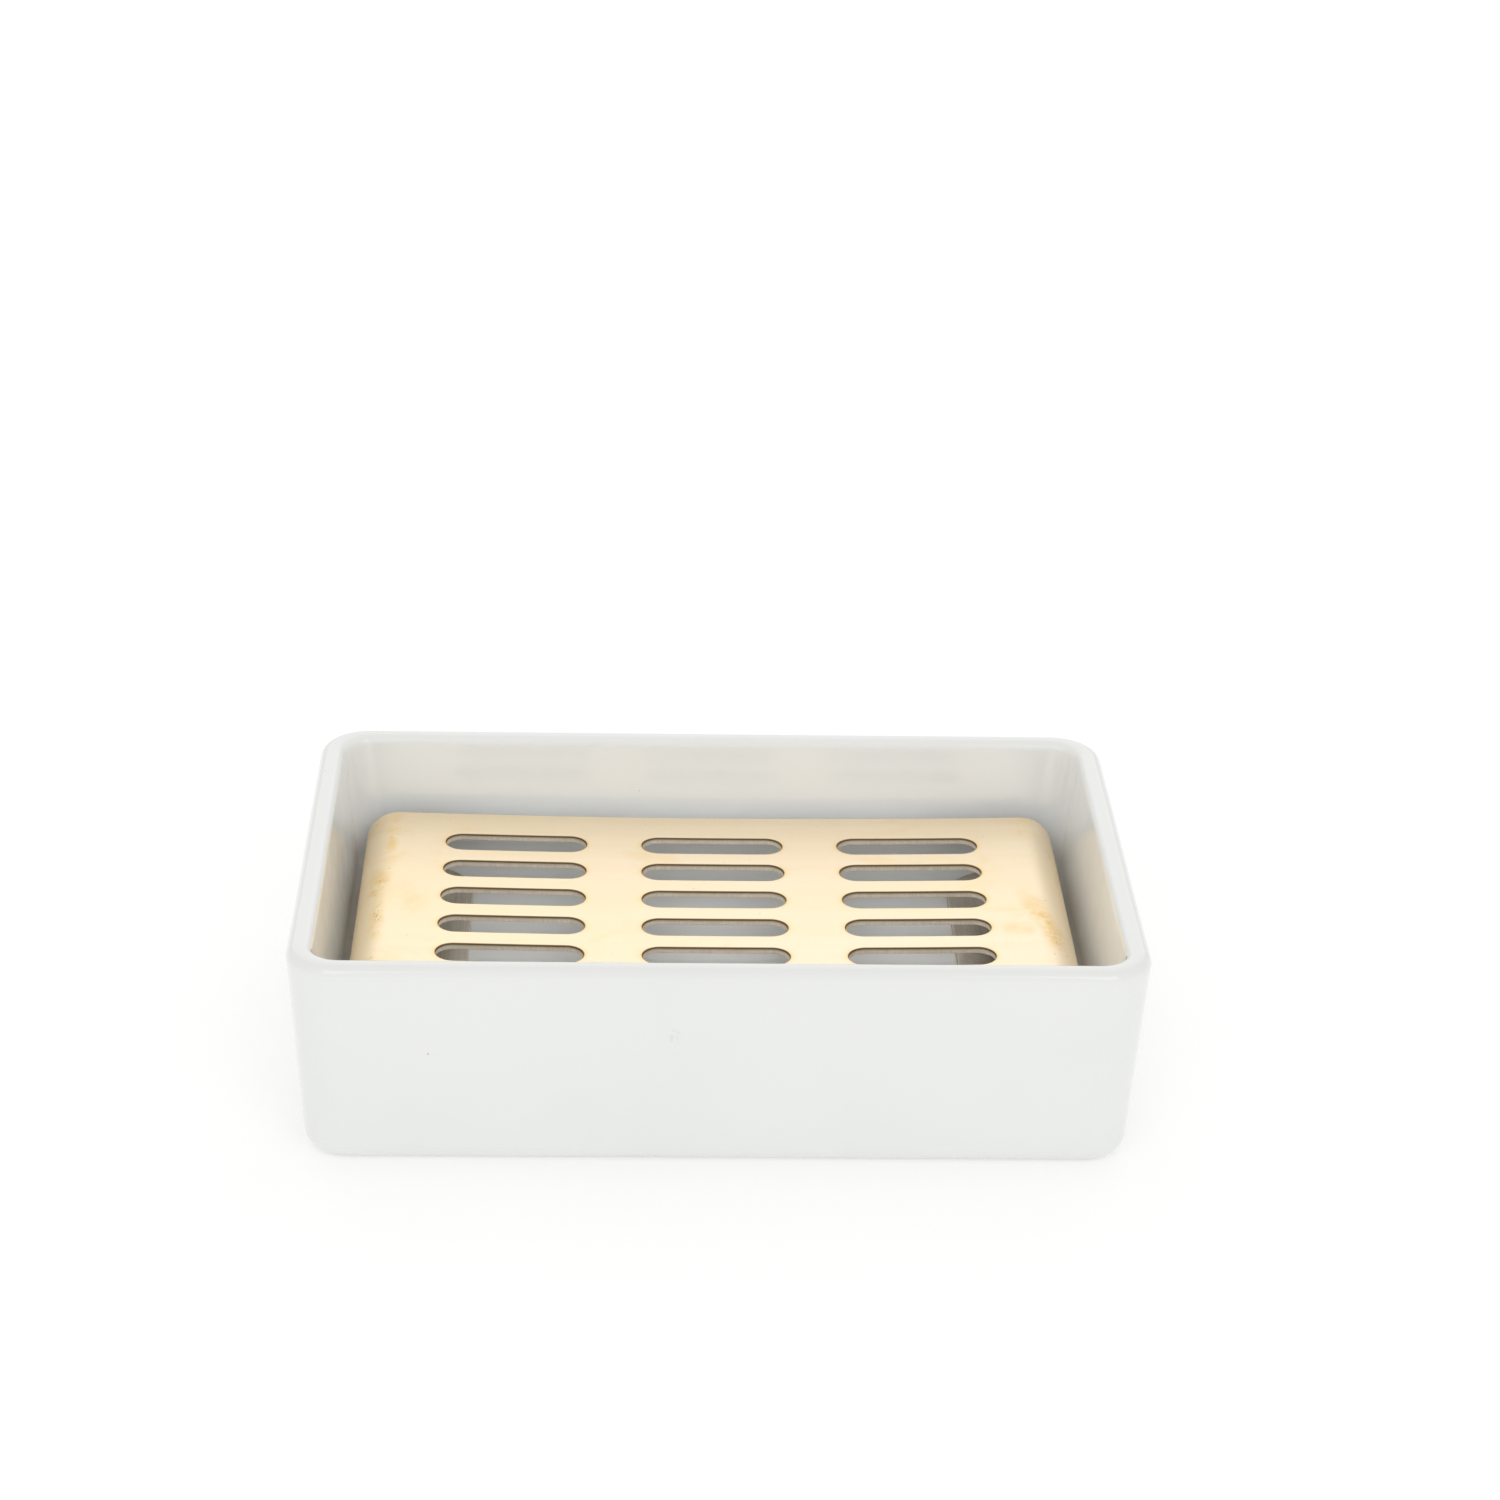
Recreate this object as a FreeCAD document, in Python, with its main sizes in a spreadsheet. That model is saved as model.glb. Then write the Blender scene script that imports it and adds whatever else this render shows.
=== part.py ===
import FreeCAD, Part
import Sketcher
import math
import os

V = FreeCAD.Vector

# Two-piece soap dish.
#   ceramic_dish  one cast and glazed dish: open rectangular cup with tapered walls, rounded plan
#                 corners, a rounded rim, fillets inside and a shallow recess inside its foot ring.
#   drain_tray    one sheet of stainless steel, punched and folded: a deck that sags a little, with
#                 three by six obround slots; both ends curl down and inward in a C into flat feet.
#                 It stands on the dish's flat floor.
# Frame: origin at the middle of the foot, on the surface the dish stands on. +X is the long side,
# +Y the rear, +Z up. Millimetres.

doc = FreeCAD.newDocument("soap_dish")

# ---------------------------------------------------------------- driving dimensions
dims = [
    # the dish, outside
    ("rim_width", 130.0, "outside length at the rim"),
    ("rim_depth", 84.0, "outside depth at the rim"),
    ("dish_height", 34.5, "foot to rim"),
    ("rim_corner", 8.0, "outside plan corner radius at the rim"),
    ("base_width", 125.6, "outside length at the foot"),
    ("base_depth", 79.6, "outside depth at the foot"),
    ("base_corner", 6.5, "outside plan corner radius at the foot"),
    # the dish, inside
    ("opening_width", 122.4, "inside length at the rim"),
    ("opening_depth", 76.4, "inside depth at the rim"),
    ("opening_corner", 4.6, "inside plan corner radius at the rim"),
    ("floor_level", 11.5, "height of the inside floor"),
    ("floor_width", 117.6, "inside length at the floor"),
    ("floor_depth", 74.8, "inside depth at the floor"),
    ("floor_corner", 6.0, "inside plan corner radius at the floor"),
    ("floor_round", 3.3, "fillet between wall and floor"),
    ("rim_outer_round", 1.9, "rounding of the rim, outer side"),
    ("rim_inner_round", 1.5, "rounding of the rim, inner side"),
    ("foot_round", 3.0, "rounding of the bottom edge"),
    # the recess under the dish
    ("recess_width", 110.6, "length of the recess inside the foot ring"),
    ("recess_deep", 64.6, "depth of the recess inside the foot ring"),
    ("recess_corner", 6.0, "plan corner radius of the recess"),
    ("recess_rise", 3.0, "how far the recess goes up"),
    ("recess_round", 1.2, "fillet round the recess"),
    # the tray
    ("tray_width", 115.0, "length over both curled ends"),
    ("tray_depth", 68.0, "depth of the sheet"),
    ("tray_height", 11.2, "feet to the deck at its ends"),
    ("sheet", 1.1, "sheet thickness"),
    ("foot_length", 18.0, "from the outside of the curl to the foot's free edge"),
    ("foot_corner", 9.0, "rounding of the foot's free corners"),
    ("deck_sag", 0.7, "how far the deck sags in the middle"),
    ("slot_length", 23.0, "slot, end to end"),
    ("slot_width", 5.5, "slot, side to side"),
    ("slot_across", 32.2, "slot pitch along X"),
    ("slot_deep", 9.45, "slot pitch along Y"),
]
sheet = doc.addObject("Spreadsheet::Sheet", "Dimensions")
for row, (name, value, note) in enumerate(dims, start=1):
    sheet.set("A%d" % row, name)
    sheet.set("B%d" % row, repr(value))
    sheet.set("C%d" % row, note)
    sheet.setAlias("B%d" % row, name)
doc.recompute()
D = {name: float(sheet.get(name)) for name, value, note in dims}


def cell(name):
    return "<<Dimensions>>.%s" % name


def new_body(name):
    body = doc.addObject("PartDesign::Body", name)
    body.Label = name
    return body


def plane_of(body, role):
    for item in body.Origin.OriginFeatures:
        if item.Role == role:
            return item
    raise RuntimeError("no plane " + role)


def new_sketch(body, name, role, lift=None):
    """A sketch on one of the body's own planes; lift is an expression for its height."""
    sketch = body.newObject("Sketcher::SketchObject", name)
    sketch.AttachmentSupport = [(plane_of(body, role), "")]
    sketch.MapMode = "FlatFace"
    if lift is not None:
        sketch.setExpression("AttachmentOffset.Base.z", lift)
    doc.recompute()
    return sketch


def rounded_rectangle(sketch, width, depth, corner):
    """Four lines and four arcs, centred, each size bound to its cell."""
    w, d, r = D[width] / 2, D[depth] / 2, D[corner]
    lines = [
        ((-w + r, -d), (w - r, -d)),
        ((w, -d + r), (w, d - r)),
        ((w - r, d), (-w + r, d)),
        ((-w, d - r), (-w, -d + r)),
    ]
    centres = [(w - r, -d + r, -90, 0), (w - r, d - r, 0, 90), (-w + r, d - r, 90, 180), (-w + r, -d + r, 180, 270)]
    ids = []
    for (a, b), (cx, cy, start, end) in zip(lines, centres):
        ids.append(sketch.addGeometry(Part.LineSegment(V(a[0], a[1], 0), V(b[0], b[1], 0)), False))
        circle = Part.Circle(V(cx, cy, 0), V(0, 0, 1), r)
        ids.append(sketch.addGeometry(Part.ArcOfCircle(circle, math.radians(start), math.radians(end)), False))
    bottom, c1, right, c2, top, c3, left, c4 = ids
    add = sketch.addConstraint
    add(Sketcher.Constraint("Tangent", bottom, 2, c1, 1))
    add(Sketcher.Constraint("Tangent", c1, 2, right, 1))
    add(Sketcher.Constraint("Tangent", right, 2, c2, 1))
    add(Sketcher.Constraint("Tangent", c2, 2, top, 1))
    add(Sketcher.Constraint("Tangent", top, 2, c3, 1))
    add(Sketcher.Constraint("Tangent", c3, 2, left, 1))
    add(Sketcher.Constraint("Tangent", left, 2, c4, 1))
    add(Sketcher.Constraint("Tangent", c4, 2, bottom, 1))
    add(Sketcher.Constraint("Horizontal", bottom))
    add(Sketcher.Constraint("Vertical", right))
    add(Sketcher.Constraint("Horizontal", top))
    add(Sketcher.Constraint("Vertical", left))
    add(Sketcher.Constraint("Equal", c1, c2))
    add(Sketcher.Constraint("Equal", c2, c3))
    add(Sketcher.Constraint("Equal", c3, c4))
    # centred: opposite corner centres are symmetric about the origin
    add(Sketcher.Constraint("Symmetric", c1, 3, c3, 3, -1, 1))
    i = add(Sketcher.Constraint("Radius", c1, r))
    sketch.renameConstraint(i, "corner")
    i = add(Sketcher.Constraint("DistanceX", c3, 3, c1, 3, 2 * (w - r)))
    sketch.renameConstraint(i, "across")
    i = add(Sketcher.Constraint("DistanceY", c1, 3, c3, 3, 2 * (d - r)))
    sketch.renameConstraint(i, "deep")
    sketch.setExpression("Constraints.corner", cell(corner))
    sketch.setExpression("Constraints.across", "%s - 2 * %s" % (cell(width), cell(corner)))
    sketch.setExpression("Constraints.deep", "%s - 2 * %s" % (cell(depth), cell(corner)))
    doc.recompute()


def edges_where(feature, test):
    names = []
    for n, edge in enumerate(feature.Shape.Edges, start=1):
        if test(edge):
            names.append("Edge%d" % n)
    return names


def volume_drop(before, after, what):
    if not after.Shape.Volume < before.Shape.Volume - 1e-3:
        raise RuntimeError(what + " took nothing away")


# ================================================================ ceramic dish
dish = new_body("ceramic_dish")

foot_outline = new_sketch(dish, "foot_outline", "XY_Plane")
rounded_rectangle(foot_outline, "base_width", "base_depth", "base_corner")
rim_outline = new_sketch(dish, "rim_outline", "XY_Plane", cell("dish_height"))
rounded_rectangle(rim_outline, "rim_width", "rim_depth", "rim_corner")
dish_block = dish.newObject("PartDesign::AdditiveLoft", "dish_block")
dish_block.Profile = foot_outline
dish_block.Sections = [rim_outline]
dish_block.Ruled = True
doc.recompute()

floor_outline = new_sketch(dish, "floor_outline", "XY_Plane", cell("floor_level"))
rounded_rectangle(floor_outline, "floor_width", "floor_depth", "floor_corner")
opening_outline = new_sketch(dish, "opening_outline", "XY_Plane", cell("dish_height"))
rounded_rectangle(opening_outline, "opening_width", "opening_depth", "opening_corner")
dish_hollow = dish.newObject("PartDesign::SubtractiveLoft", "dish_hollow")
dish_hollow.Profile = floor_outline
dish_hollow.Sections = [opening_outline]
dish_hollow.Ruled = True
doc.recompute()
volume_drop(dish_block, dish_hollow, "the hollow")

recess_outline = new_sketch(dish, "recess_outline", "XY_Plane")
rounded_rectangle(recess_outline, "recess_width", "recess_deep", "recess_corner")
foot_recess = dish.newObject("PartDesign::Pocket", "foot_recess")
foot_recess.Profile = recess_outline
foot_recess.Type = "Length"
foot_recess.Reversed = True
foot_recess.setExpression("Length", cell("recess_rise"))
doc.recompute()
volume_drop(dish_hollow, foot_recess, "the recess")


def flat_at(edge, z):
    box = edge.BoundBox
    return abs(box.ZMin - z) < 1e-4 and abs(box.ZMax - z) < 1e-4


def within(edge, half_width, half_depth):
    box = edge.BoundBox
    return (max(abs(box.XMin), abs(box.XMax)) < half_width + 0.01
            and max(abs(box.YMin), abs(box.YMax)) < half_depth + 0.01)


def add_fillet(body, base, name, test, radius_cell):
    fillet = body.newObject("PartDesign::Fillet", name)
    names = edges_where(base, test)
    if not names:
        raise RuntimeError(name + " found no edges")
    fillet.Base = (base, names)
    fillet.setExpression("Radius", cell(radius_cell))
    doc.recompute()
    return fillet


# inside floor
floor_fillet = add_fillet(
    dish, foot_recess, "floor_fillet",
    lambda e: flat_at(e, D["floor_level"]) and within(e, D["floor_width"] / 2, D["floor_depth"] / 2),
    "floor_round")
# rim, inner edge then outer edge
rim_in = add_fillet(
    dish, floor_fillet, "rim_inner_fillet",
    lambda e: flat_at(e, D["dish_height"]) and within(e, D["opening_width"] / 2, D["opening_depth"] / 2),
    "rim_inner_round")
rim_out = add_fillet(
    dish, rim_in, "rim_outer_fillet",
    lambda e: flat_at(e, D["dish_height"]) and not within(e, D["opening_width"] / 2 + 1.7, D["opening_depth"] / 2 + 1.7),
    "rim_outer_round")
# bottom edge and the recess
foot_fillet = add_fillet(
    dish, rim_out, "foot_fillet",
    lambda e: flat_at(e, 0) and not within(e, D["recess_width"] / 2, D["recess_deep"] / 2),
    "foot_round")
recess_fillet = add_fillet(
    dish, foot_fillet, "recess_fillet",
    lambda e: flat_at(e, D["recess_rise"]) and within(e, D["recess_width"] / 2, D["recess_deep"] / 2),
    "recess_round")
dish.Tip = recess_fillet
doc.recompute()

# ================================================================ drain tray
tray = new_body("drain_tray")

# The sheet's section, seen from the front. Both curls are half circles of half the tray's height, and
# the deck is one long arc that meets both curls in tangent and hangs deck_sag low in the middle.
R = D["tray_height"] / 2
T = D["sheet"]
A = D["tray_width"] / 2 - R
F = D["tray_width"] / 2 - D["foot_length"]
low = D["tray_height"] - D["deck_sag"]
b = low - R
RHO = (A * A + b * b - R * R) / (2 * (R - b))
zc = low + RHO
phi = math.atan2(A, zc - R)          # slope of the deck where it meets a curl

section = new_sketch(tray, "sheet_section", "XZ_Plane")


def arc(cx, cy, r, start, end):
    return section.addGeometry(Part.ArcOfCircle(Part.Circle(V(cx, cy, 0), V(0, 0, 1), r), start, end), False)


def line(x1, y1, x2, y2):
    return section.addGeometry(Part.LineSegment(V(x1, y1, 0), V(x2, y2, 0)), False)


def p(n):
    return math.pi * n


# outer skin: foot, curl, deck, curl, foot
foot_l = line(-F, 0, -A, 0)
curl_l = arc(-A, R, R, p(0.5) - phi, p(1.5))            # start: on the deck, end: on the foot
deck_o = arc(0, zc, RHO, p(1.5) - phi, p(1.5) + phi)    # start: left, end: right
curl_r = arc(A, R, R, p(-0.5), p(0.5) + phi)            # start: on the foot, end: on the deck
foot_r = line(A, 0, F, 0)
# inner skin
foot_li = line(-F, T, -A, T)
curl_li = arc(-A, R, R - T, p(0.5) - phi, p(1.5))
deck_i = arc(0, zc, RHO + T, p(1.5) - phi, p(1.5) + phi)
curl_ri = arc(A, R, R - T, p(-0.5), p(0.5) + phi)
foot_ri = line(A, T, F, T)
# free ends
end_l = line(-F, 0, -F, T)
end_r = line(F, 0, F, T)
# the deck's lowest points, for the sag: on its top and on its underside
sag_point = section.addGeometry(Part.Point(V(0, low, 0)), True)
under_point = section.addGeometry(Part.Point(V(0, low - T, 0)), True)

add = section.addConstraint
C = Sketcher.Constraint
add(C("Tangent", foot_l, 2, curl_l, 2))
add(C("Tangent", curl_l, 1, deck_o, 1))
add(C("Tangent", deck_o, 2, curl_r, 2))
add(C("Tangent", curl_r, 1, foot_r, 1))
add(C("Tangent", foot_li, 2, curl_li, 2))
add(C("Tangent", curl_li, 1, deck_i, 1))
add(C("Tangent", deck_i, 2, curl_ri, 2))
add(C("Tangent", curl_ri, 1, foot_ri, 1))
add(C("Coincident", curl_li, 3, curl_l, 3))
add(C("Coincident", curl_ri, 3, curl_r, 3))
add(C("Coincident", end_l, 1, foot_l, 1))
add(C("Coincident", end_l, 2, foot_li, 1))
add(C("Coincident", end_r, 1, foot_r, 2))
add(C("Coincident", end_r, 2, foot_ri, 2))
add(C("Horizontal", foot_l))
add(C("Horizontal", foot_r))
add(C("Horizontal", foot_li))
add(C("Horizontal", foot_ri))
add(C("Vertical", end_l))
add(C("Vertical", end_r))
add(C("Equal", end_l, end_r))
add(C("PointOnObject", sag_point, 1, -2))
add(C("PointOnObject", sag_point, 1, deck_o))
add(C("PointOnObject", under_point, 1, -2))
add(C("PointOnObject", under_point, 1, deck_i))
add(C("Equal", curl_l, curl_r))
add(C("PointOnObject", foot_l, 1, -1))
add(C("Symmetric", foot_l, 1, foot_r, 2, -2))
named = [
    ("curl_radius", add(C("Radius", curl_l, R)), "%s / 2" % cell("tray_height")),
    ("curl_centre", add(C("DistanceX", -1, 1, curl_r, 3, A)), "%s / 2 - %s / 2" % (cell("tray_width"), cell("tray_height"))),
    ("curl_left", add(C("DistanceX", curl_l, 3, -1, 1, A)), "%s / 2 - %s / 2" % (cell("tray_width"), cell("tray_height"))),
    ("free_end", add(C("DistanceX", -1, 1, foot_r, 2, F)), "%s / 2 - %s" % (cell("tray_width"), cell("foot_length"))),
    ("low_point", add(C("DistanceY", -1, 1, sag_point, 1, low)), "%s - %s" % (cell("tray_height"), cell("deck_sag"))),
    ("under_low_point", add(C("DistanceY", -1, 1, under_point, 1, low - T)),
     "%s - %s - %s" % (cell("tray_height"), cell("deck_sag"), cell("sheet"))),
    ("thickness", add(C("Distance", end_r, T)), cell("sheet")),
]
for name, index, expression in named:
    section.renameConstraint(index, name)
    section.setExpression("Constraints." + name, expression)
doc.recompute()

folded = tray.newObject("PartDesign::Pad", "folded_sheet")
folded.Profile = section
folded.Type = "Length"
folded.SideType = "Symmetric"
folded.setExpression("Length", cell("tray_depth"))
doc.recompute()


# the four free corners of the feet
def foot_corner_edge(edge):
    box = edge.BoundBox
    return (box.ZMin < 0.01 and abs(box.ZMax - T) < 0.01 and box.XLength < 0.01 and box.YLength < 0.01
            and abs(abs(box.XMin) - F) < 0.01)


feet = add_fillet(tray, folded, "foot_corners", foot_corner_edge, "foot_corner")
if len(feet.Base[1]) != 4:
    raise RuntimeError("expected four free corners, found %d" % len(feet.Base[1]))

# the obround slots, three columns by six rows, cut down through the deck only; every slot takes its
# size from the first one, its X from the first row and its Y from the first column
COLUMNS, ROWS = 3, 6
slots = new_sketch(tray, "slot_outlines", "XY_Plane", "%s + 1" % cell("tray_height"))
L, w = D["slot_length"], D["slot_width"] / 2


def obround(sketch, cx, cy):
    """Two lines and two half circles round the point cx, cy; returns the upper line and the left end."""
    half = L / 2 - w
    top = sketch.addGeometry(Part.LineSegment(V(cx + half, cy + w, 0), V(cx - half, cy + w, 0)), False)
    left = sketch.addGeometry(Part.ArcOfCircle(Part.Circle(V(cx - half, cy, 0), V(0, 0, 1), w), p(0.5), p(1.5)), False)
    low_line = sketch.addGeometry(Part.LineSegment(V(cx - half, cy - w, 0), V(cx + half, cy - w, 0)), False)
    right = sketch.addGeometry(Part.ArcOfCircle(Part.Circle(V(cx + half, cy, 0), V(0, 0, 1), w), p(-0.5), p(0.5)), False)
    sketch.addConstraint([
        C("Tangent", top, 2, left, 1),
        C("Tangent", left, 2, low_line, 1),
        C("Tangent", low_line, 2, right, 1),
        C("Tangent", right, 2, top, 1),
        C("Horizontal", top),
        C("Equal", left, right),
    ])
    return top, left


def name_constraint(sketch, name, constraint, expression):
    index = sketch.addConstraint(constraint)
    sketch.renameConstraint(index, name)
    sketch.setExpression("Constraints." + name, expression)


tops, lefts = {}, {}
for column in range(COLUMNS):
    for row in range(ROWS):
        cx = (column - (COLUMNS - 1) / 2) * D["slot_across"]
        cy = (row - (ROWS - 1) / 2) * D["slot_deep"]
        tops[column, row], lefts[column, row] = obround(slots, cx, cy)
        if column or row:
            slots.addConstraint(C("Equal", lefts[0, 0], lefts[column, row]))
            slots.addConstraint(C("Equal", tops[0, 0], tops[column, row]))
        if column and row:
            slots.addConstraint(C("Vertical", lefts[column, 0], 3, lefts[column, row], 3))
            slots.addConstraint(C("Horizontal", lefts[0, row], 3, lefts[column, row], 3))
        elif column:
            slots.addConstraint(C("Horizontal", lefts[0, 0], 3, lefts[column, 0], 3))
            name_constraint(slots, "column_%d" % column,
                            C("DistanceX", lefts[column - 1, 0], 3, lefts[column, 0], 3, D["slot_across"]),
                            cell("slot_across"))
        elif row:
            slots.addConstraint(C("Vertical", lefts[0, 0], 3, lefts[0, row], 3))
            name_constraint(slots, "row_%d" % row,
                            C("DistanceY", lefts[0, row - 1], 3, lefts[0, row], 3, D["slot_deep"]),
                            cell("slot_deep"))
name_constraint(slots, "end_radius", C("Radius", lefts[0, 0], w), "%s / 2" % cell("slot_width"))
name_constraint(slots, "straight", C("DistanceX", tops[0, 0], 2, tops[0, 0], 1, L - 2 * w),
                "%s - %s" % (cell("slot_length"), cell("slot_width")))
name_constraint(slots, "first_x", C("DistanceX", lefts[0, 0], 3, -1, 1, (COLUMNS - 1) / 2 * D["slot_across"] + L / 2 - w),
                "%s * %s + (%s - %s) / 2" % ((COLUMNS - 1) / 2, cell("slot_across"), cell("slot_length"), cell("slot_width")))
name_constraint(slots, "first_y", C("DistanceY", lefts[0, 0], 3, -1, 1, (ROWS - 1) / 2 * D["slot_deep"]),
                "%s * %s" % ((ROWS - 1) / 2, cell("slot_deep")))
doc.recompute()

slot_cut = tray.newObject("PartDesign::Pocket", "slot_cut")
slot_cut.Profile = slots
slot_cut.Type = "Length"
slot_cut.setExpression("Length", "%s + %s + 2.5" % (cell("deck_sag"), cell("sheet")))
doc.recompute()
one = (math.pi * w * w + (L - 2 * w) * 2 * w) * T
cut = feet.Shape.Volume - slot_cut.Shape.Volume
if abs(cut / one - COLUMNS * ROWS) > 0.3:
    raise RuntimeError("slots cut: %.2f of %d" % (cut / one, COLUMNS * ROWS))


tray.Tip = slot_cut
doc.recompute()

# the tray stands on the dish's floor
tray.setExpression("Placement.Base.z", cell("floor_level"))
doc.recompute()

# ---------------------------------------------------------------- check and write
for item in doc.Objects:
    if "Invalid" in item.State or "Error" in item.State:
        raise RuntimeError("%s is %s" % (item.Name, item.State))
for sketch in [o for o in doc.Objects if o.TypeId == "Sketcher::SketchObject"]:
    if sketch.solve() != 0:
        raise RuntimeError("%s does not solve" % sketch.Name)
    print(sketch.Name, "fully constrained:", sketch.FullyConstrained)

os.makedirs("parts", exist_ok=True)
for body in (dish, tray):
    shape = body.Shape
    if shape.isNull() or not shape.isValid():
        raise RuntimeError(body.Label + " has no valid shape")
    if len(shape.Solids) != 1:
        raise RuntimeError("%s is %d solids" % (body.Label, len(shape.Solids)))
    box = shape.BoundBox
    print("%-14s volume %9.1f mm3  x %.2f..%.2f  y %.2f..%.2f  z %.2f..%.2f" % (
        body.Label, shape.Volume, box.XMin, box.XMax, box.YMin, box.YMax, box.ZMin, box.ZMax))
    shape.exportStep("parts/%s.step" % body.Label)
print("tray and dish share %.4f mm3, nearest %.4f mm" % (
    dish.Shape.common(tray.Shape).Volume, dish.Shape.distToShape(tray.Shape)[0]))
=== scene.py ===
import math

import bpy
from mathutils import Matrix, Vector, noise


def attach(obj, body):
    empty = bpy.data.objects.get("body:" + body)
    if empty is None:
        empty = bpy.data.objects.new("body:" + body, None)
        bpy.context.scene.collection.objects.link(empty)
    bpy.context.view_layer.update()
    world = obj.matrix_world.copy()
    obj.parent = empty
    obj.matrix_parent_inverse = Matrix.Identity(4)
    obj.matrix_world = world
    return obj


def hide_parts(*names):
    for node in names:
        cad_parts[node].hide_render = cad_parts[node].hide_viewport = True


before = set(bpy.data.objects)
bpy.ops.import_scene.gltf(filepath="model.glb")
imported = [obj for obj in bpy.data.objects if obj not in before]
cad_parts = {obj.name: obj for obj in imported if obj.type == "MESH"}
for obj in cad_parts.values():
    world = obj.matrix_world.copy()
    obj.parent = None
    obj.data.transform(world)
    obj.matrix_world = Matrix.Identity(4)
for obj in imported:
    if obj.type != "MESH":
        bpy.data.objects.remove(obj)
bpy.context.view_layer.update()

MM = 0.001


# ------------------------------------------------------------------ small helpers
def mesh_object(name, vertices, faces, material_of_face, materials):
    mesh = bpy.data.meshes.new(name)
    mesh.from_pydata([tuple(c * MM for c in v) for v in vertices], [], faces)
    for material in materials:
        mesh.materials.append(material)
    mesh.polygons.foreach_set("material_index", material_of_face)
    mesh.polygons.foreach_set("use_smooth", [True] * len(faces))
    mesh.update()
    obj = bpy.data.objects.new(name, mesh)
    bpy.context.scene.collection.objects.link(obj)
    return obj


def point_values(obj, name, values):
    layer = obj.data.attributes.new(name, "FLOAT", "POINT")
    layer.data.foreach_set("value", values)


class Nodes:
    """A short way to write a material's nodes."""

    def __init__(self, name):
        self.material = bpy.data.materials.new(name)
        self.material.use_nodes = True
        self.tree = self.material.node_tree
        self.tree.nodes.clear()
        self.out = self.tree.nodes.new("ShaderNodeOutputMaterial")
        self.shader = self.tree.nodes.new("ShaderNodeBsdfPrincipled")
        self.link(self.shader.outputs["BSDF"], self.out.inputs["Surface"])
        coordinates = self.tree.nodes.new("ShaderNodeTexCoord")
        self.place = coordinates.outputs["Object"]

    def link(self, a, b):
        self.tree.links.new(a, b)

    def put(self, socket, value):
        if isinstance(value, bpy.types.NodeSocket):
            self.link(value, socket)
        elif value is not None:
            socket.default_value = value

    def scaled(self, x, y, z, shift=(0, 0, 0)):
        """The object's own coordinates, times x, y, z per millimetre."""
        node = self.tree.nodes.new("ShaderNodeMapping")
        node.vector_type = "POINT"
        self.link(self.place, node.inputs["Vector"])
        node.inputs["Scale"].default_value = (x * 1000, y * 1000, z * 1000)
        node.inputs["Location"].default_value = shift
        return node.outputs["Vector"]

    def noise(self, vector, scale=1.0, detail=3.0, rough=0.5, distortion=0.0):
        node = self.tree.nodes.new("ShaderNodeTexNoise")
        self.link(vector, node.inputs["Vector"])
        node.inputs["Scale"].default_value = scale
        node.inputs["Detail"].default_value = detail
        node.inputs["Roughness"].default_value = rough
        node.inputs["Distortion"].default_value = distortion
        return node.outputs["Fac"]

    def cells(self, vector, scale=1.0, randomness=1.0, flat=False):
        node = self.tree.nodes.new("ShaderNodeTexVoronoi")
        if flat:
            node.voronoi_dimensions = "2D"
        self.link(vector, node.inputs["Vector"])
        node.inputs["Scale"].default_value = scale
        node.inputs["Randomness"].default_value = randomness
        return node.outputs["Distance"], node.outputs["Color"]

    def math(self, operation, a, b=None, c=None, clamp=False):
        node = self.tree.nodes.new("ShaderNodeMath")
        node.operation = operation
        node.use_clamp = clamp
        for socket, value in zip(node.inputs, (a, b, c)):
            self.put(socket, value)
        return node.outputs[0]

    def ramp(self, value, a, b, to_a=0.0, to_b=1.0):
        """value between a and b becomes to_a to to_b, smoothly, and stays there outside."""
        node = self.tree.nodes.new("ShaderNodeMapRange")
        node.interpolation_type = "SMOOTHSTEP"
        self.put(node.inputs["Value"], value)
        node.inputs["From Min"].default_value = a
        node.inputs["From Max"].default_value = b
        node.inputs["To Min"].default_value = to_a
        node.inputs["To Max"].default_value = to_b
        return node.outputs["Result"]

    def mix(self, factor, a, b, blend="MIX"):
        node = self.tree.nodes.new("ShaderNodeMix")
        node.data_type = "RGBA"
        node.blend_type = blend
        self.put(node.inputs["Factor"], factor)
        self.put(node.inputs["A"], a)
        self.put(node.inputs["B"], b)
        return node.outputs["Result"]

    def dot(self, x, y, z, radius):
        """1 in a small round dot about a place in millimetres, 0 outside it."""
        node = self.tree.nodes.new("ShaderNodeVectorMath")
        node.operation = "DISTANCE"
        self.link(self.scaled(1, 1, 1), node.inputs[0])
        node.inputs[1].default_value = (x, y, z)
        return self.ramp(node.outputs["Value"], radius * 0.55, radius, 1.0, 0.0)

    def attribute(self, name):
        node = self.tree.nodes.new("ShaderNodeAttribute")
        node.attribute_name = name
        return node.outputs["Fac"]

    def axes(self):
        node = self.tree.nodes.new("ShaderNodeSeparateXYZ")
        self.link(self.scaled(1, 1, 1), node.inputs["Vector"])
        return node.outputs["X"], node.outputs["Y"], node.outputs["Z"]

    def bump(self, height, strength, distance, normal=None):
        node = self.tree.nodes.new("ShaderNodeBump")
        self.link(height, node.inputs["Height"])
        node.inputs["Strength"].default_value = strength
        node.inputs["Distance"].default_value = distance * MM
        if normal is not None:
            self.link(normal, node.inputs["Normal"])
        return node.outputs["Normal"]


# ------------------------------------------------------------------ camera
# Focal length in picture widths, tilt, turn and roll, and where the lens stands, in millimetres.
FOCAL, TILT, TURN, ROLL = 3729.73 / 1500.0, 0.444473, 0.038705, 0.026273
SIDE, RISE, AWAY = -4.95085, -46.01747, 603.9306

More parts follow.
